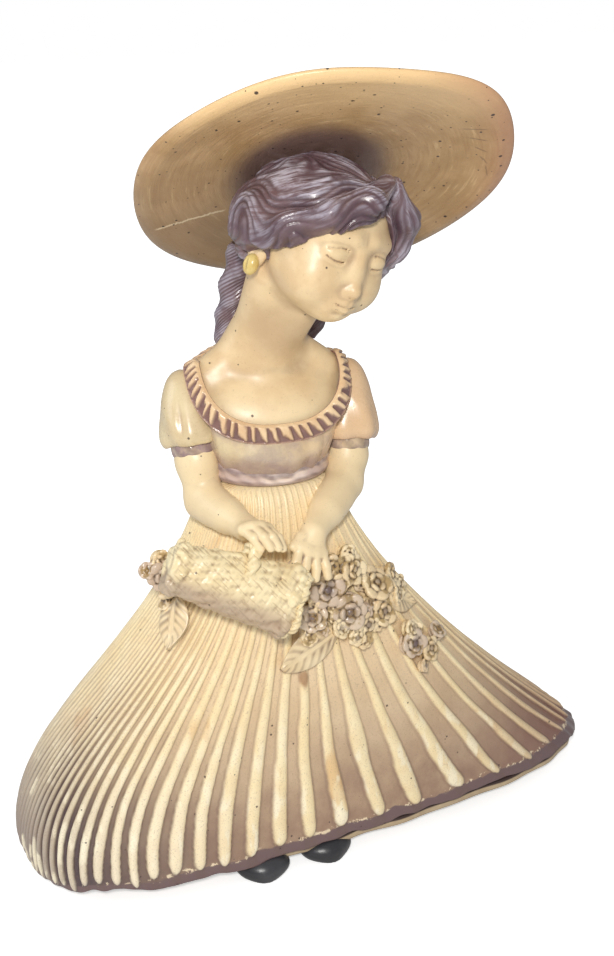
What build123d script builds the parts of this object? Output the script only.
"""Chalkware figure: a girl in a wide sun hat with a basket of flowers, standing in a pleated skirt.

Hollow plaster castings that seat on each other from the felt pad up. Millimetres, +Z up, the girl's
feet point along -Y and the skirt spreads along X. The origin is on the floor below the waist.
"""

from build123d import *

import os
from math import copysign, cos, pi, radians, sin

# Fit between castings that seat in each other
FIT = 0.2

# Felt pad and plinth, both ovals below the skirt
FELT_THICKNESS = 1.5
FELT_INSET = 3.0
PLINTH_HEIGHT = 9.0
PLINTH_HALF_WIDTH = 112.0
PLINTH_HALF_DEPTH = 43.0
PLINTH_CENTRE_X = 26.0
PLINTH_ROUNDING = 3.0

# Petticoat ring that shows below the hem, and how far it stands back from the hem's edge
PETTICOAT_WALL = 8.0
PETTICOAT_DROP = 5.0
PETTICOAT_SETBACK = 2.5

# Shoes, let into pockets of the plinth: width, length and height of one shoe
SHOE_WIDTH = 25.0
SHOE_LENGTH = 58.0
SHOE_HEIGHT = 15.0
SHOE_UPPER = ((0.0, 1.0), (0.45, 0.97), (0.8, 0.8), (1.0, 0.5))
SHOE_TOE_OUT = {"right": -14.0, "left": -2.0}
SHOE_X = {"right": -26.0, "left": 8.0}
SHOE_TOE_REACH = 4.0
WELT_HEIGHT = 3.0
WELT_STAND = 1.0

# Skirt: a swept bell between an oval waist and a squarish oval hem
HEM_GAP = 14.0
SKIRT_HEIGHT = 193.0
HEM_HALF_WIDTH = 170.0
HEM_HALF_DEPTH = 58.0
WAIST_HALF_WIDTH = 31.0
WAIST_HALF_DEPTH = 25.0
HEM_SQUARENESS = 2.8
WIDTH_FLARE = 1.45
WIDTH_TURN_IN = 1.35
DEPTH_FLARE = 0.55
SKIRT_SWEEP = 29.0
SWEEP_FLARE = 4.5
SKIRT_WALL = 7.0
PLEAT_COUNT = 60
PLEAT_DEPTH_AT_HEM = 3.2
PLEAT_DEPTH_AT_WAIST = 0.8
PLEAT_RIDGE_SHARE = 0.40
PLEAT_FLANK_SHARE = 0.14
SKIRT_LEVELS = (0.0, 0.1, 0.25, 0.45, 0.68, 0.88, 1.0)
CAVITY_LEVELS = (0.0, 0.22, 0.5, 0.78, 0.92)

# Torso, turned about the body's own axis, and the sash round its waist
TORSO_TURN = -12.0
BODICE_WAIST_HALF_WIDTH = 27.0
BODICE_WAIST_HALF_DEPTH = 21.0
BUST_HALF_WIDTH = 33.0
BUST_HALF_DEPTH = 26.0
BUST_HEIGHT = 20.0
SPIGOT_DEPTH = 8.0
SPIGOT_INSET = 6.0
SASH_HEIGHT = 12.0
SASH_STAND = 4.5
SASH_ROUNDING = 2.0

# Neckline: a tilted oval where the dress ends and the skin begins
NECKLINE_HEIGHT = 47.0
NECKLINE_TILT = 38.0
NECKLINE_HALF_WIDTH = 38.0
NECKLINE_HALF_DEPTH = 29.0
NECKLINE_FORWARD = 3.0
RUFFLE_WIDTH = 8.0
RUFFLE_STAND = 3.4
RUFFLE_GATHERS = 34
RUFFLE_GATHER_RADIUS = 1.5

# Neck, leaning towards the head, the slope of the shoulders below it, and how the neck narrows:
# distance above its foot and share of its radius
NECK_RADIUS = 14.5
NECK_LEAN = (13.0, -19.0)
NECK_BASE_HEIGHT = 66.0
NECK_TOP_HEIGHT = 97.0
NECK_SECTIONS = ((6.0, 1.12), (18.0, 0.97))
SHOULDER_HEIGHT = 58.0
SHOULDER_HALF_WIDTH = 1.95 * NECK_RADIUS
SHOULDER_HALF_DEPTH = 1.4 * NECK_RADIUS

# Steel rod cast into the neck, from the bodice to the head
ROD_RADIUS = 2.5
ROD_BELOW_NECK = 34.0
ROD_INTO_HEAD = 20.0

# Puffed sleeves, their bands and the bare arms
SLEEVE_TOP = (35.0, 2.0, 50.0)
SLEEVE_END = (43.5, -1.0, 18.0)
SLEEVE_RADIUS = 15.5
SLEEVE_MOUTH_RADIUS = 11.0
SLEEVE_BAND_WIDTH = 5.0
SLEEVE_BAND_STAND = 1.6
ARM_RADIUS = 9.8
WRIST_RADIUS = 6.6
ARM_ELBOW = {"right": (-33.0, -6.0, -8.0), "left": (32.0, -22.0, -3.0)}
ARM_WRIST = {"right": (-32.0, -40.0, -11.0), "left": (1.0, -48.0, -17.0)}
HAND_TIP = {"right": (-31.0, -62.0, -8.0), "left": (-11.0, -60.0, -35.0)}
PALM_HALF_WIDTH = 8.0
PALM_HALF_THICKNESS = 4.6
PALM_SHARE = 0.55
PALM_SECTIONS = ((0.0, 0.86, 1.35), (0.5, 1.05, 1.1), (1.0, 1.0, 0.8))
FINGER_RADIUS = 2.1
FINGER_COUNT = 4
FINGER_SHARE = 0.55
FINGER_FAN = 13.0

# Head: a frame at its middle, turned and bowed, then the egg of the skull and the jaw
HEAD_CENTRE = (16.0, -25.0, 123.0)
HEAD_YAW = 12.0
HEAD_BOW = 10.0
HEAD_LEAN = 18.0
HEAD_HALF_WIDTH = 34.5
HEAD_HALF_DEPTH = 37.0
HEAD_TOP = 36.0
CHIN_DROP = 33.0
NOSE_RADIUS = 4.2

# Sections of the head, from the chin up: height, share of the half sizes and shift towards the face
HEAD_SECTIONS = (
    (-CHIN_DROP, 0.22, 17.0),
    (-CHIN_DROP * 0.82, 0.50, 13.0),
    (-CHIN_DROP * 0.45, 0.78, 6.0),
    (0.0, 0.96, 1.0),
    (HEAD_TOP * 0.38, 1.0, 0.0),
    (HEAD_TOP * 0.72, 0.83, -1.0),
    (HEAD_TOP * 0.94, 0.45, -1.0),
)

# Hair: a cap over the skull, a swept fringe, a side lock and two plaits. The cap's sections go by
# share of the skull's height and share of the half sizes
HAIR_THICKNESS = 6.0
HAIR_HALF_WIDTH = HEAD_HALF_WIDTH + HAIR_THICKNESS
HAIR_HALF_DEPTH = HEAD_HALF_DEPTH + HAIR_THICKNESS
HAIR_SECTIONS = ((-0.45, 0.80), (0.0, 0.98), (0.38, 1.0), (0.72, 0.86), (0.98, 0.55), (1.1, 0.2))
FACE_WINDOW_HALF_WIDTH = 44.0
FACE_WINDOW_TOP = 26.0
FACE_WINDOW_BACK = -8.0
FRINGE_RADIUS = 7.5
SIDE_LOCK_RADIUS = 6.0
PLAIT_RADIUS = 8.0
PLAIT_TIP_RADIUS = 5.0
PLAIT_LOBES = 5
PLAIT_NIP = 0.78
PLAIT_ZIGZAG = 2.2
PLAIT_TOP = {"right": (-7.0, 13.0, 110.0), "left": (41.0, 4.0, 106.0)}
PLAIT_END = {"right": (-14.0, 28.0, 60.0), "left": (34.0, 16.0, 60.0)}

# Earrings: a pair of domed studs
EARRING_RADIUS = 4.4
EARRING_REACH = 38.0
EARRING_PLACE = (3.0, -18.0)

# Sun hat, worn on the back of the head: centre of the brim from the waist, and the crown's direction
HAT_CENTRE = (26.8, -10.0, 150.0)
HAT_CROWN_DIRECTION = (0.180, 0.646, 0.742)
HAT_RADIUS = 91.0
HAT_THICKNESS = 5.5
HAT_DROOP = 7.0
HAT_CROWN_RADIUS = 41.0
HAT_CROWN_HEIGHT = 34.0
HAT_CROWN_ROUNDING = 14.0
HAT_CROWN_BEVEL = 4.0

# Basket lying along the front of the skirt, and its rope rim and handle
BASKET_FOOT = (-76.0, -46.0, -19.0)
BASKET_MOUTH = (-17.0, -61.0, -46.0)
BASKET_FOOT_RADIUS = 11.0
BASKET_BELLY_RADIUS = 16.0
BASKET_MOUTH_RADIUS = 17.5
BASKET_FLATNESS = 0.72
BASKET_WALL = 3.0
BASKET_DEPTH = 14.0
BASKET_RIM_RADIUS = 2.4
HANDLE_RADIUS = 3.2
HANDLE_SPAN = 15.0
HANDLE_RISE = 21.0
HANDLE_PLACE = 0.56

# Flowers and leaves, seated on the skirt by their place across and below the waist
BLOSSOM_PETALS = 5
BLOSSOM_RADIUS = 9.0
BLOSSOM_THICKNESS = 7.0
BLOSSOM_PLACES = (
    (-3.0, -41.0, 1.0),
    (9.0, -52.0, 1.1),
    (1.0, -66.0, 0.9),
    (21.0, -66.0, 1.15),
    (25.0, -46.0, 1.0),
    (38.0, -58.0, 1.1),
    (42.0, -73.0, 0.9),
    (52.0, -60.0, 0.8),
)
SPRIG_PLACES = ((60.0, -96.0, 0.9), (72.0, -103.0, 0.8))
POSY_PLACES = ((-66.0, -40.0, 1.0), (-57.0, -52.0, 0.85))
LEAF_LENGTH = 30.0
LEAF_WIDTH = 15.0
LEAF_THICKNESS = 3.5
LEAF_PLACES = ((-60.0, -70.0, -80.0, 0.95), (-2.0, -82.0, -155.0, 1.2), (56.0, -72.0, -35.0, 0.9))

# Sizes that follow from those above
PLATE_Z = FELT_THICKNESS + PLINTH_HEIGHT
WAIST_Z = HEM_GAP + SKIRT_HEIGHT
SPIGOT_HALF_WIDTH = BODICE_WAIST_HALF_WIDTH - SPIGOT_INSET
SPIGOT_HALF_DEPTH = BODICE_WAIST_HALF_DEPTH - SPIGOT_INSET
SIDES = {"right": -1.0, "left": 1.0}


def skirt_size(share):
    """Middle, half width and half depth of the skirt at a share of its height."""
    drop = 1.0 - share
    middle = SKIRT_SWEEP * drop**SWEEP_FLARE
    spread = 1.0 - (1.0 - drop**WIDTH_FLARE) ** WIDTH_TURN_IN
    width = WAIST_HALF_WIDTH + (HEM_HALF_WIDTH - WAIST_HALF_WIDTH) * spread
    depth = WAIST_HALF_DEPTH + (HEM_HALF_DEPTH - WAIST_HALF_DEPTH) * drop**DEPTH_FLARE
    return middle, width, depth


def skirt_point(share, turn, grow=0.0):
    """A point of the skirt's outline, moved out by grow along the outline's normal."""
    middle, width, depth = skirt_size(share)
    c, s = cos(turn), sin(turn)
    scale = (abs(c) ** HEM_SQUARENESS + abs(s) ** HEM_SQUARENESS) ** (-1.0 / HEM_SQUARENESS)
    normal = Vector(
        copysign(abs(c) ** (HEM_SQUARENESS - 1.0), c) / width,
        copysign(abs(s) ** (HEM_SQUARENESS - 1.0), s) / depth,
    ).normalized()
    return Vector(middle + scale * width * c, scale * depth * s) + normal * grow


def pleat_depth(share):
    return PLEAT_DEPTH_AT_HEM + (PLEAT_DEPTH_AT_WAIST - PLEAT_DEPTH_AT_HEM) * share


def pleated_outline(share):
    """The four corners of every pleat, round the skirt at one height."""
    pitch = 2.0 * pi / PLEAT_COUNT
    steps = (
        (0.0, 0.0),
        (PLEAT_FLANK_SHARE, pleat_depth(share)),
        (PLEAT_FLANK_SHARE + PLEAT_RIDGE_SHARE, pleat_depth(share)),
        (2.0 * PLEAT_FLANK_SHARE + PLEAT_RIDGE_SHARE, 0.0),
    )
    return [
        skirt_point(share, (pleat + along) * pitch, out)
        for pleat in range(PLEAT_COUNT)
        for along, out in steps
    ]


def smooth_outline(share, grow, points=36):
    """The skirt's plain outline without pleats, grown or shrunk."""
    return [skirt_point(share, 2.0 * pi * i / points, grow) for i in range(points)]


def skirt_z(share):
    return HEM_GAP + SKIRT_HEIGHT * share


def skirt_seat(x, below_waist, stand_off):
    """A plane on the front of the skirt, facing out, clear of the pleats by stand_off."""
    share = 1.0 + below_waist / SKIRT_HEIGHT

    def front(at_x, at_share):
        middle, width, depth = skirt_size(at_share)
        across = min(abs(at_x - middle) / width, 0.995)
        return -depth * (1.0 - across**HEM_SQUARENESS) ** (1.0 / HEM_SQUARENESS)

    step = 1.0
    slope_x = (front(x + step, share) - front(x - step, share)) / (2.0 * step)
    rise = step / SKIRT_HEIGHT
    slope_z = (front(x, share + rise) - front(x, share - rise)) / (2.0 * step)
    outward = Vector(slope_x, -1.0, slope_z).normalized()
    spot = Vector(x, front(x, share), WAIST_Z + below_waist) + outward * stand_off
    return Plane(origin=spot, x_dir=Vector(1.0, slope_x, 0.0), z_dir=outward)


def torso_point(x, y, height):
    """A point in the turned torso's own frame, with height above the waist."""
    turned = Vector(x, y, 0.0).rotate(Axis.Z, TORSO_TURN)
    return turned + Vector(0.0, 0.0, WAIST_Z + height)


def torso_plane(height, forward=0.0, tilt=0.0):
    """A level or tilted section plane across the torso, tilted down at the front."""
    across = Vector(1.0, 0.0, 0.0).rotate(Axis.Z, TORSO_TURN)
    up = Vector(0.0, -sin(radians(tilt)), cos(radians(tilt))).rotate(Axis.Z, TORSO_TURN)
    return Plane(origin=torso_point(0.0, -forward, height), x_dir=across, z_dir=up)


def above_waist(point):
    return Vector(*point) + Vector(0.0, 0.0, WAIST_Z)


def head_frame():
    """The head's frame: x to the girl's left, -y out of the face, z to the crown."""
    frame = Plane(origin=above_waist(HEAD_CENTRE), x_dir=(1, 0, 0), z_dir=(0, 0, 1))
    return frame.rotated((HEAD_BOW, HEAD_LEAN, HEAD_YAW), Extrinsic.XYZ)


HEAD = head_frame()


def head_section(height, forward):
    """A section plane across the head, at a height of the head's own axis."""
    middle = HEAD.from_local_coords((0, -forward, height))
    return Plane(origin=middle, x_dir=HEAD.x_dir, z_dir=HEAD.z_dir)


def along_path(points):
    """A plane at each point of a path, square to the path there, all with the same side up."""
    overall = points[-1] - points[0]
    side = overall.cross(Vector(0, 0, 1) if abs(overall.Z) < 0.9 * overall.length else Vector(0, 1, 0))
    planes = []
    for i, point in enumerate(points):
        before, after = points[max(i - 1, 0)], points[min(i + 1, len(points) - 1)]
        ahead = (after - before).normalized()
        planes.append(Plane(origin=point, x_dir=side - ahead * side.dot(ahead), z_dir=ahead))
    return planes


def profile_plane(origin, axis):
    """A plane through an axis, with its own y along the axis, for a turned profile."""
    radial = axis.cross(Vector(0, 1, 0)).normalized()
    return Plane(origin=origin, x_dir=radial, z_dir=radial.cross(axis))


def limb(points, radii):
    """A round limb lofted along a path of points with a radius at each."""
    with BuildPart() as made:
        for plane, radius in zip(along_path(points), radii):
            with BuildSketch(plane):
                Circle(radius)
        loft()
    return made.part


# Skirt: pleated outside, hollow inside, with a socket for the bodice in its top
with BuildPart() as skirt:
    for level in SKIRT_LEVELS:
        with BuildSketch(Plane.XY.offset(skirt_z(level))):
            with BuildLine():
                Polyline(*pleated_outline(level), close=True)
            make_face()
    loft(ruled=True)
    for level in CAVITY_LEVELS:
        centre_x, half_width, half_depth = skirt_size(level)
        with BuildSketch(Plane.XY.offset(skirt_z(level))):
            with Locations((centre_x, 0)):
                Ellipse(half_width - SKIRT_WALL, half_depth - SKIRT_WALL)
    loft(mode=Mode.SUBTRACT)
    with BuildSketch(torso_plane(0.0)):
        Ellipse(SPIGOT_HALF_WIDTH + FIT, SPIGOT_HALF_DEPTH + FIT)
    extrude(amount=-SPIGOT_DEPTH - FIT, mode=Mode.SUBTRACT)
skirt.part.label = "skirt"

# Envelope just clear of the pleats, which the basket and the flowers rest on
with BuildPart() as skirt_envelope:
    for level in SKIRT_LEVELS:
        with BuildSketch(Plane.XY.offset(skirt_z(level))):
            with BuildLine():
                Polyline(*smooth_outline(level, pleat_depth(level) + FIT, 2 * PLEAT_COUNT), close=True)
            make_face()
    loft(ruled=True)

# Petticoat: a plain ring below the hem
with BuildPart() as petticoat:
    with BuildSketch(Plane.XY.offset(HEM_GAP - PETTICOAT_DROP)):
        with BuildLine():
            Spline(*smooth_outline(0.0, -PETTICOAT_SETBACK), periodic=True)
        make_face()
        with BuildLine():
            Spline(*smooth_outline(0.0, -PETTICOAT_SETBACK - PETTICOAT_WALL), periodic=True)
        make_face(mode=Mode.SUBTRACT)
    extrude(amount=PETTICOAT_DROP)
petticoat.part.label = "petticoat"

# Closing plate inside the petticoat ring
with BuildPart() as closing_plate:
    with BuildSketch(Plane.XY.offset(PLATE_Z)):
        with BuildLine():
            Spline(*smooth_outline(0.0, -PETTICOAT_SETBACK - PETTICOAT_WALL - FIT), periodic=True)
        make_face()
    extrude(amount=HEM_GAP - PLATE_Z)
closing_plate.part.label = "closing_plate"


def shoe(side):
    """One shoe: a rounded upper on a welt, its toe just past the hem."""
    toe = Vector(SHOE_X[side], -HEM_HALF_DEPTH - SHOE_TOE_REACH + SHOE_LENGTH / 2.0)
    level = Plane(origin=toe, z_dir=(0, 0, 1)).rotated((0, 0, SHOE_TOE_OUT[side]))
    half_width, half_length = SHOE_WIDTH / 2.0, SHOE_LENGTH / 2.0
    with BuildPart() as made:
        with BuildSketch(level):
            Ellipse(half_width, half_length)
        extrude(amount=WELT_HEIGHT)
        for rise, share in SHOE_UPPER:
            with BuildSketch(level.offset(WELT_HEIGHT + rise * (SHOE_HEIGHT - WELT_HEIGHT))):
                Ellipse((half_width - WELT_STAND) * share, (half_length - WELT_STAND) * share)
        loft()
        add(closing_plate.part, mode=Mode.SUBTRACT)
        add(petticoat.part, mode=Mode.SUBTRACT)
    made.part.label = f"shoe_{side}"
    return made.part


shoes = {side: shoe(side) for side in SIDES}

# Plinth with a rounded top edge and a pocket for each shoe
with BuildPart() as base_plinth:
    with BuildSketch(Plane.XY.offset(FELT_THICKNESS)):
        with Locations((PLINTH_CENTRE_X, 0)):
            Ellipse(PLINTH_HALF_WIDTH, PLINTH_HALF_DEPTH)
    extrude(amount=PLINTH_HEIGHT)
    fillet(base_plinth.edges().group_by(Axis.Z)[-1], PLINTH_ROUNDING)
    for side in SIDES:
        add(shoes[side], mode=Mode.SUBTRACT)
base_plinth.part.label = "base_plinth"

# Felt pad glued below the plinth, cut round the shoes
with BuildPart() as felt_pad:
    with BuildSketch():
        with Locations((PLINTH_CENTRE_X, 0)):
            Ellipse(PLINTH_HALF_WIDTH - FELT_INSET, PLINTH_HALF_DEPTH - FELT_INSET)
    extrude(amount=FELT_THICKNESS)
    for side in SIDES:
        add(shoes[side], mode=Mode.SUBTRACT)
felt_pad.part.label = "felt_pad"

# Neck rod: leans as the neck does, from inside the bodice into the head
NECK_FOOT = torso_point(0.0, 0.0, NECK_BASE_HEIGHT)
NECK_TOP = above_waist((*NECK_LEAN, NECK_TOP_HEIGHT))
NECK_DIRECTION = (NECK_TOP - NECK_FOOT).normalized()
with BuildPart() as neck_rod:
    with BuildSketch(Plane(origin=NECK_FOOT - NECK_DIRECTION * ROD_BELOW_NECK, z_dir=NECK_DIRECTION)):
        Circle(ROD_RADIUS)
    extrude(amount=ROD_BELOW_NECK + (NECK_TOP - NECK_FOOT).length + ROD_INTO_HEAD)
neck_rod.part.label = "neck_rod"

# Bodice: from the waist to the tilted neckline, with a spigot into the skirt
NECKLINE = torso_plane(NECKLINE_HEIGHT, NECKLINE_FORWARD, NECKLINE_TILT)
with BuildPart() as bodice:
    with BuildSketch(torso_plane(0.0)):
        Ellipse(BODICE_WAIST_HALF_WIDTH, BODICE_WAIST_HALF_DEPTH)
    with BuildSketch(torso_plane(BUST_HEIGHT, NECKLINE_FORWARD, NECKLINE_TILT / 2.0)):
        Ellipse(BUST_HALF_WIDTH, BUST_HALF_DEPTH)
    with BuildSketch(NECKLINE):
        Ellipse(NECKLINE_HALF_WIDTH, NECKLINE_HALF_DEPTH)
    loft()
    with BuildSketch(torso_plane(0.0)):
        Ellipse(SPIGOT_HALF_WIDTH, SPIGOT_HALF_DEPTH)
    extrude(amount=-SPIGOT_DEPTH)
    add(neck_rod.part, mode=Mode.SUBTRACT)
bodice.part.label = "bodice"

# Chest and neck: skin from the neckline up to the head
with BuildPart() as chest_and_neck:
    with BuildSketch(NECKLINE):
        Ellipse(NECKLINE_HALF_WIDTH, NECKLINE_HALF_DEPTH)
    with BuildSketch(torso_plane(SHOULDER_HEIGHT, 0.0, NECKLINE_TILT * 0.75)):
        Ellipse(SHOULDER_HALF_WIDTH, SHOULDER_HALF_DEPTH)
    for distance, share in (*NECK_SECTIONS, ((NECK_TOP - NECK_FOOT).length, 1.0)):
        middle = NECK_FOOT + NECK_DIRECTION * distance
        with BuildSketch(Plane(origin=middle, x_dir=NECKLINE.x_dir, z_dir=NECK_DIRECTION)):
            Circle(NECK_RADIUS * share)
    loft()
    add(neck_rod.part, mode=Mode.SUBTRACT)
chest_and_neck.part.label = "chest_and_neck"

# Sash: a rounded band round the waist, on the top of the skirt
with BuildPart() as waist_sash:
    with BuildSketch(torso_plane(0.0)):
        Ellipse(BODICE_WAIST_HALF_WIDTH + SASH_STAND, BODICE_WAIST_HALF_DEPTH + SASH_STAND)
    extrude(amount=SASH_HEIGHT)
    fillet(waist_sash.edges(), SASH_ROUNDING)
    add(bodice.part, mode=Mode.SUBTRACT)
waist_sash.part.label = "waist_sash"

# Plain band of the ruffle, which the sleeves and the plaits are fitted to
with BuildPart() as ruffle_band:
    with BuildSketch(NECKLINE.offset(-RUFFLE_WIDTH / 2.0)):
        Ellipse(NECKLINE_HALF_WIDTH + RUFFLE_STAND, NECKLINE_HALF_DEPTH + RUFFLE_STAND)
    extrude(amount=RUFFLE_WIDTH)
    fillet(ruffle_band.edges(), RUFFLE_STAND / 2.0)

# Ruffle: the band, drawn in by gathers
with BuildPart() as neckline_ruffle:
    add(ruffle_band.part)
    for gather in range(RUFFLE_GATHERS):
        turn = 2.0 * pi * gather / RUFFLE_GATHERS
        spot = NECKLINE.from_local_coords(
            (
                (NECKLINE_HALF_WIDTH + RUFFLE_STAND) * cos(turn),
                (NECKLINE_HALF_DEPTH + RUFFLE_STAND) * sin(turn),
                0.0,
            )
        )
        with BuildSketch(Plane(origin=spot, z_dir=NECKLINE.z_dir)):
            Circle(RUFFLE_GATHER_RADIUS)
        extrude(amount=RUFFLE_WIDTH, both=True, mode=Mode.SUBTRACT)
    for neighbour in (bodice, chest_and_neck, neck_rod):
        add(neighbour.part, mode=Mode.SUBTRACT)
neckline_ruffle.part.label = "neckline_ruffle"


def arm_points(side):
    """Sleeve end, elbow and wrist of one arm."""
    x, y, height = SLEEVE_END
    start = torso_point(SIDES[side] * x, y, height)
    inside_sleeve = start + Vector(0, 0, SLEEVE_MOUTH_RADIUS)
    return [inside_sleeve, start, above_waist(ARM_ELBOW[side]), above_waist(ARM_WRIST[side])]


arm_radii = (ARM_RADIUS * 0.9, ARM_RADIUS, ARM_RADIUS, WRIST_RADIUS)
arms = {side: limb(arm_points(side), arm_radii) for side in SIDES}


def sleeve(side):
    """One puffed sleeve: a body of revolution about the arm, seated on the bodice."""
    top = torso_point(SIDES[side] * SLEEVE_TOP[0], *SLEEVE_TOP[1:])
    end = torso_point(SIDES[side] * SLEEVE_END[0], *SLEEVE_END[1:])
    length = (end - top).length
    with BuildPart() as made:
        with BuildSketch(profile_plane(top, end - top)):
            with BuildLine():
                rise = Spline(
                    (0, -SLEEVE_MOUTH_RADIUS * 0.5),
                    (SLEEVE_RADIUS * 0.86, length * 0.16),
                    (SLEEVE_RADIUS, length * 0.62),
                    (SLEEVE_MOUTH_RADIUS, length),
                    tangents=((1, 0), (-1, 1)),
                )
                Polyline(rise @ 1, (0, length), rise @ 0)
            make_face()
        revolve(axis=Axis(top, end - top))
        for neighbour in (bodice, chest_and_neck, neck_rod, ruffle_band):
            add(neighbour.part, mode=Mode.SUBTRACT)
        add(arms[side], mode=Mode.SUBTRACT)
    made.part.label = f"sleeve_{side}"
    return made.part


sleeves = {side: sleeve(side) for side in SIDES}


def sleeve_band(side):
    """The gathered band at the mouth of one sleeve."""
    top = torso_point(SIDES[side] * SLEEVE_TOP[0], *SLEEVE_TOP[1:])
    end = torso_point(SIDES[side] * SLEEVE_END[0], *SLEEVE_END[1:])
    with BuildPart() as made:
        with BuildSketch(Plane(origin=end, z_dir=end - top)):
            Circle(SLEEVE_MOUTH_RADIUS + SLEEVE_BAND_STAND)
        extrude(amount=SLEEVE_BAND_WIDTH)
        fillet(made.edges(), SLEEVE_BAND_STAND)
        add(arms[side], mode=Mode.SUBTRACT)
        add(bodice.part, mode=Mode.SUBTRACT)
        add(waist_sash.part, mode=Mode.SUBTRACT)
        add(skirt_envelope.part, mode=Mode.SUBTRACT)
    made.part.label = f"sleeve_band_{side}"
    return made.part


sleeve_bands = {side: sleeve_band(side) for side in SIDES}


def finished_arm(side):
    """One arm, trimmed where it lies against the dress."""
    with BuildPart() as made:
        add(arms[side])
        for dress in (skirt_envelope, waist_sash, bodice):
            add(dress.part, mode=Mode.SUBTRACT)
    made.part.label = f"arm_{side}"
    return made.part


bare_arms = {side: finished_arm(side) for side in SIDES}


def hand(side):
    """One hand: a flat palm from the wrist and four fingers in a fan."""
    wrist, tip = above_waist(ARM_WRIST[side]), above_waist(HAND_TIP[side])
    reach = tip - wrist
    frame = Plane(origin=wrist, x_dir=reach.cross(Vector(0, 0, 1)), z_dir=reach)
    palm = reach.length * PALM_SHARE
    with BuildPart() as made:
        for along, width, thickness in PALM_SECTIONS:
            with BuildSketch(frame.offset(palm * along)):
                Ellipse(PALM_HALF_WIDTH * width, PALM_HALF_THICKNESS * thickness)
        loft()
        for finger in range(FINGER_COUNT):
            across = (finger - (FINGER_COUNT - 1) / 2.0) / FINGER_COUNT
            root = frame.from_local_coords((across * 1.9 * PALM_HALF_WIDTH, 0, palm * 0.75))
            fan = across * FINGER_COUNT * FINGER_FAN
            aim = reach.rotate(Axis((0, 0, 0), frame.y_dir), fan).normalized()
            with BuildSketch(Plane(origin=root, z_dir=aim)):
                Circle(FINGER_RADIUS)
            extrude(amount=reach.length * FINGER_SHARE)
        add(bare_arms[side], mode=Mode.SUBTRACT)
        add(skirt_envelope.part, mode=Mode.SUBTRACT)
    made.part.label = f"hand_{side}"
    return made.part


hands = {side: hand(side) for side in SIDES}

# Head: an egg from the chin to the crown, with a plain nose
with BuildPart() as head:
    for height, share, forward in HEAD_SECTIONS:
        with BuildSketch(head_section(height, forward)):
            Ellipse(HEAD_HALF_WIDTH * share, HEAD_HALF_DEPTH * share)
    loft()
    with BuildSketch(head_section(-NOSE_RADIUS * 2.2, HEAD_HALF_DEPTH * 0.93)):
        Circle(NOSE_RADIUS)
    with BuildSketch(head_section(NOSE_RADIUS * 2.0, HEAD_HALF_DEPTH * 0.88)):
        Circle(NOSE_RADIUS * 0.5)
    loft()
    add(chest_and_neck.part, mode=Mode.SUBTRACT)
    add(neck_rod.part, mode=Mode.SUBTRACT)
head.part.label = "head"

# Hair over the skull, open at the face
with BuildPart() as hair_cap:
    for height, share in HAIR_SECTIONS:
        with BuildSketch(head_section(HEAD_TOP * height, 0.0)):
            Ellipse(HAIR_HALF_WIDTH * share, HAIR_HALF_DEPTH * share)
    loft()
    window_depth = 2.0 * HEAD_HALF_DEPTH
    window_height = 3.0 * CHIN_DROP
    window_middle = window_depth / 2.0 - FACE_WINDOW_BACK
    with BuildSketch(head_section(FACE_WINDOW_TOP - window_height / 2.0, window_middle)):
        RectangleRounded(2.0 * FACE_WINDOW_HALF_WIDTH, window_depth, FACE_WINDOW_HALF_WIDTH / 3.0)
    extrude(amount=window_height / 2.0, both=True, mode=Mode.SUBTRACT)
    for body in (head, chest_and_neck, neck_rod):
        add(body.part, mode=Mode.SUBTRACT)
hair_cap.part.label = "hair_cap"


def lock(label, places, radii, neighbours):
    """A lock of hair along points of the head's frame, cut to lie on its neighbours."""
    strand = limb([HEAD.from_local_coords(place) for place in places], radii)
    with BuildPart() as made:
        add(strand)
        for neighbour in neighbours:
            add(neighbour, mode=Mode.SUBTRACT)
    made.part.label = label
    return made.part


w, d = HEAD_HALF_WIDTH, HEAD_HALF_DEPTH
hair_fringe = lock(
    "hair_fringe",
    (
        (w * 0.3, -d * 0.62, 35.0),
        (-w * 0.25, -d * 0.83, 27.0),
        (-w * 0.75, -d * 0.66, 16.0),
        (-w * 1.08, -d * 0.1, -4.0),
    ),
    (FRINGE_RADIUS * 0.6, FRINGE_RADIUS * 0.9, FRINGE_RADIUS, FRINGE_RADIUS * 0.8),
    (head.part, hair_cap.part),
)
hair_side_lock = lock(
    "hair_side_lock",
    (
        (w * 0.4, -d * 0.62, 35.0),
        (w * 0.78, -d * 0.62, 25.0),
        (w * 1.02, -d * 0.36, 8.0),
        (w * 1.0, -d * 0.1, -14.0),
    ),
    (SIDE_LOCK_RADIUS * 0.6, SIDE_LOCK_RADIUS, SIDE_LOCK_RADIUS, SIDE_LOCK_RADIUS * 0.6),
    (head.part, hair_cap.part, hair_fringe),
)


def plait(side):
    """One plait: swelling lobes in a zigzag from behind the ear to the shoulder."""
    top, end = above_waist(PLAIT_TOP[side]), above_waist(PLAIT_END[side])
    sideways = (end - top).cross(Vector(0, 1, 0)).normalized()
    places, radii = [], []
    for step in range(2 * PLAIT_LOBES + 1):
        share = step / (2.0 * PLAIT_LOBES)
        swing = PLAIT_ZIGZAG * (0, 1, 0, -1)[step % 4]
        places.append(top + (end - top) * share + sideways * swing)
        taper = PLAIT_RADIUS + (PLAIT_TIP_RADIUS - PLAIT_RADIUS) * share
        radii.append(taper * (1.0 if step % 2 else PLAIT_NIP))
    braid = limb(places, radii)
    with BuildPart() as made:
        add(braid)
        for neighbour in (head, hair_cap, chest_and_neck, bodice, ruffle_band):
            add(neighbour.part, mode=Mode.SUBTRACT)
        add(sleeves[side], mode=Mode.SUBTRACT)
    made.part.label = f"plait_{side}"
    return made.part


plaits = {side: plait(side) for side in SIDES}


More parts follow.
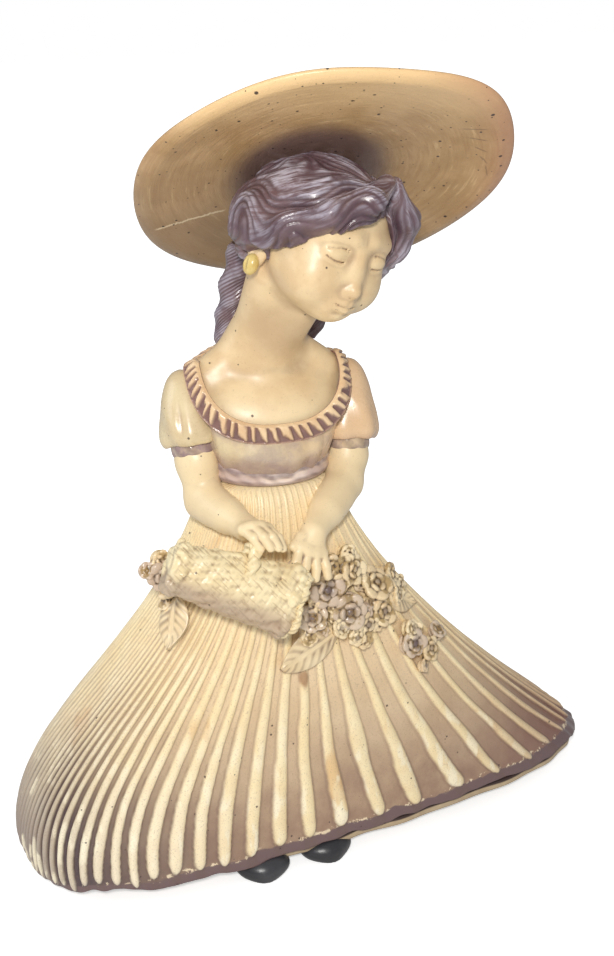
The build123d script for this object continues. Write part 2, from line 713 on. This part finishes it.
def earring(side):
    """One domed stud on the side of the head, below the hair."""
    outward = HEAD.x_dir * SIDES[side]
    across, below = EARRING_PLACE
    start = HEAD.from_local_coords((0, across, below))
    with BuildPart() as made:
        with BuildSketch(Plane(origin=start, z_dir=outward)):
            Circle(EARRING_RADIUS)
        extrude(amount=EARRING_REACH)
        fillet(made.faces().sort_by(Axis(start, outward))[-1].edges(), EARRING_RADIUS * 0.7)
        for neighbour in (head, hair_cap, neck_rod, chest_and_neck):
            add(neighbour.part, mode=Mode.SUBTRACT)
        for neighbour in (hair_fringe, hair_side_lock, plaits[side]):
            add(neighbour, mode=Mode.SUBTRACT)
    made.part.label = f"earring_{side}"
    return made.part


earrings = {side: earring(side) for side in SIDES}

# Sun hat: a drooping brim and a round crown, turned about the crown's axis
HAT = Plane(origin=above_waist(HAT_CENTRE), x_dir=HEAD.x_dir, z_dir=HAT_CROWN_DIRECTION)
with BuildPart() as hat:
    with BuildSketch(Plane(origin=HAT.origin, x_dir=HAT.x_dir, z_dir=HAT.x_dir.cross(HAT.z_dir))):
        edge = HAT_RADIUS - HAT_THICKNESS / 2.0
        with BuildLine():
            under = Spline((0, 0), (edge * 0.45, 0), (edge, -HAT_DROOP), tangents=((1, 0), (1, -0.35)))
            lip_height = HAT_THICKNESS * 0.4 - HAT_DROOP
            lip = ThreePointArc(under @ 1, (HAT_RADIUS, lip_height), (edge, HAT_THICKNESS - HAT_DROOP))
            crown_foot = (HAT_CROWN_RADIUS + HAT_CROWN_BEVEL, HAT_THICKNESS)
            over = Spline(lip @ 1, crown_foot, tangents=((-1, 0.35), (-1, 0)))
            wall = Line(over @ 1, (HAT_CROWN_RADIUS, HAT_THICKNESS + HAT_CROWN_BEVEL))
            shoulder = (HAT_CROWN_RADIUS - HAT_CROWN_BEVEL, HAT_CROWN_HEIGHT - HAT_CROWN_ROUNDING)
            side_wall = Line(wall @ 1, shoulder)
            dome = Spline(side_wall @ 1, (0, HAT_CROWN_HEIGHT), tangents=((-0.2, 1), (-1, 0)))
            Line(dome @ 1, under @ 0)
        make_face()
    revolve(axis=Axis(HAT.origin, HAT.z_dir))
    for neighbour in (head, hair_cap, chest_and_neck):
        add(neighbour.part, mode=Mode.SUBTRACT)
    for neighbour in (hair_fringe, hair_side_lock, *plaits.values(), *earrings.values()):
        add(neighbour, mode=Mode.SUBTRACT)
hat.part.label = "hat"

# Basket: a flattened cone on its side, with a shallow hollow at the mouth
basket_foot, basket_mouth = above_waist(BASKET_FOOT), above_waist(BASKET_MOUTH)
basket_axis = basket_mouth - basket_foot
BASKET = Plane(origin=basket_foot, x_dir=basket_axis.cross(Vector(0, -1, 0)), z_dir=basket_axis)
with BuildPart() as basket:
    basket_radii = (BASKET_FOOT_RADIUS, BASKET_BELLY_RADIUS, BASKET_MOUTH_RADIUS)
    for i, radius in enumerate(basket_radii):
        with BuildSketch(BASKET.offset(basket_axis.length * i / (len(basket_radii) - 1))):
            Ellipse(radius, radius * BASKET_FLATNESS)
    loft()
    with BuildSketch(BASKET.offset(basket_axis.length)):
        Ellipse(BASKET_MOUTH_RADIUS - BASKET_WALL, BASKET_MOUTH_RADIUS * BASKET_FLATNESS - BASKET_WALL)
    extrude(amount=-BASKET_DEPTH, mode=Mode.SUBTRACT)
    add(skirt_envelope.part, mode=Mode.SUBTRACT)
    for side in SIDES:
        add(hands[side], mode=Mode.SUBTRACT)
basket.part.label = "basket"

# Rope rim round the mouth of the basket
with BuildPart() as basket_rim:
    with BuildLine(BASKET.offset(basket_axis.length)):
        mouth = EllipticalCenterArc(
            (0, 0),
            BASKET_MOUTH_RADIUS - BASKET_WALL / 2.0,
            BASKET_MOUTH_RADIUS * BASKET_FLATNESS - BASKET_WALL / 2.0,
            arc_size=360.0,
        )
    with BuildSketch(Plane(origin=mouth @ 0, z_dir=mouth % 0)):
        Circle(BASKET_RIM_RADIUS)
    sweep()
    add(basket.part, mode=Mode.SUBTRACT)
    add(skirt_envelope.part, mode=Mode.SUBTRACT)
    for side in SIDES:
        add(hands[side], mode=Mode.SUBTRACT)
basket_rim.part.label = "basket_rim"

# Handle: an arch over the basket, square to its axis
handle_foot = basket_foot + basket_axis * HANDLE_PLACE
with BuildPart() as basket_handle:
    arch_plane = Plane(origin=handle_foot, x_dir=BASKET.y_dir, z_dir=basket_axis)
    with BuildLine(arch_plane):
        arch = Spline(
            (-HANDLE_SPAN * 0.5, 0),
            (-HANDLE_SPAN * 0.5, HANDLE_RISE * 0.8),
            (0, HANDLE_RISE + HANDLE_RADIUS),
            (HANDLE_SPAN * 0.5, HANDLE_RISE * 0.8),
            (HANDLE_SPAN * 0.5, 0),
        )
    with BuildSketch(Plane(origin=arch @ 0, z_dir=arch % 0)):
        Circle(HANDLE_RADIUS)
    sweep()
    for neighbour in (basket, basket_rim, skirt_envelope):
        add(neighbour.part, mode=Mode.SUBTRACT)
    for neighbour in (*hands.values(), *bare_arms.values()):
        add(neighbour, mode=Mode.SUBTRACT)
basket_handle.part.label = "basket_handle"


def flowers(label, places, neighbours):
    """Blossoms seated on the skirt: a heart in a ring of petals at each place."""
    with BuildPart() as made:
        for x, below, size in places:
            with Locations(skirt_seat(x, below, PLEAT_DEPTH_AT_HEM).location):
                Sphere(BLOSSOM_THICKNESS * size * 0.9)
                with PolarLocations(BLOSSOM_RADIUS * size * 0.62, BLOSSOM_PETALS):
                    Sphere(BLOSSOM_RADIUS * size * 0.45)
        add(skirt_envelope.part, mode=Mode.SUBTRACT)
        for neighbour in neighbours:
            add(neighbour, mode=Mode.SUBTRACT)
    made.part.label = label
    return made.part


held = (basket.part, basket_rim.part, basket_handle.part, *hands.values(), *bare_arms.values())
bouquet = flowers("bouquet", BLOSSOM_PLACES, held)
sprig = flowers("sprig", SPRIG_PLACES, held)
posy = flowers("posy", POSY_PLACES, held)


def leaf(number, place, neighbours):
    """One pointed leaf lying on the skirt."""
    x, below, turn, size = place
    seat = skirt_seat(x, below, PLEAT_DEPTH_AT_HEM - LEAF_THICKNESS)
    along = seat.x_dir * cos(radians(turn)) + seat.y_dir * sin(radians(turn))
    half_length, half_width = LEAF_LENGTH * size / 2.0, LEAF_WIDTH * size / 2.0
    with BuildPart() as made:
        with BuildSketch(Plane(origin=seat.origin, x_dir=along, z_dir=seat.z_dir)):
            with BuildLine():
                ThreePointArc((-half_length, 0), (0, half_width), (half_length, 0))
                ThreePointArc((half_length, 0), (0, -half_width), (-half_length, 0))
            make_face()
        extrude(amount=2.0 * LEAF_THICKNESS)
        add(skirt_envelope.part, mode=Mode.SUBTRACT)
        for neighbour in neighbours:
            add(neighbour, mode=Mode.SUBTRACT)
    made.part.label = f"leaf_{number}"
    return made.part


leaves = [leaf(i + 1, place, (*held, bouquet, sprig, posy)) for i, place in enumerate(LEAF_PLACES)]

os.makedirs("parts", exist_ok=True)
for piece in (
    felt_pad.part,
    base_plinth.part,
    closing_plate.part,
    *shoes.values(),
    petticoat.part,
    skirt.part,
    waist_sash.part,
    bodice.part,
    chest_and_neck.part,
    neck_rod.part,
    neckline_ruffle.part,
    *sleeves.values(),
    *sleeve_bands.values(),
    *bare_arms.values(),
    *hands.values(),
    head.part,
    hair_cap.part,
    hair_fringe,
    hair_side_lock,
    *plaits.values(),
    *earrings.values(),
    hat.part,
    basket.part,
    basket_rim.part,
    basket_handle.part,
    bouquet,
    sprig,
    posy,
    *leaves,
):
    export_step(piece, f"parts/{piece.label}.step")
    print(piece.label, len(piece.solids()), round(piece.volume))
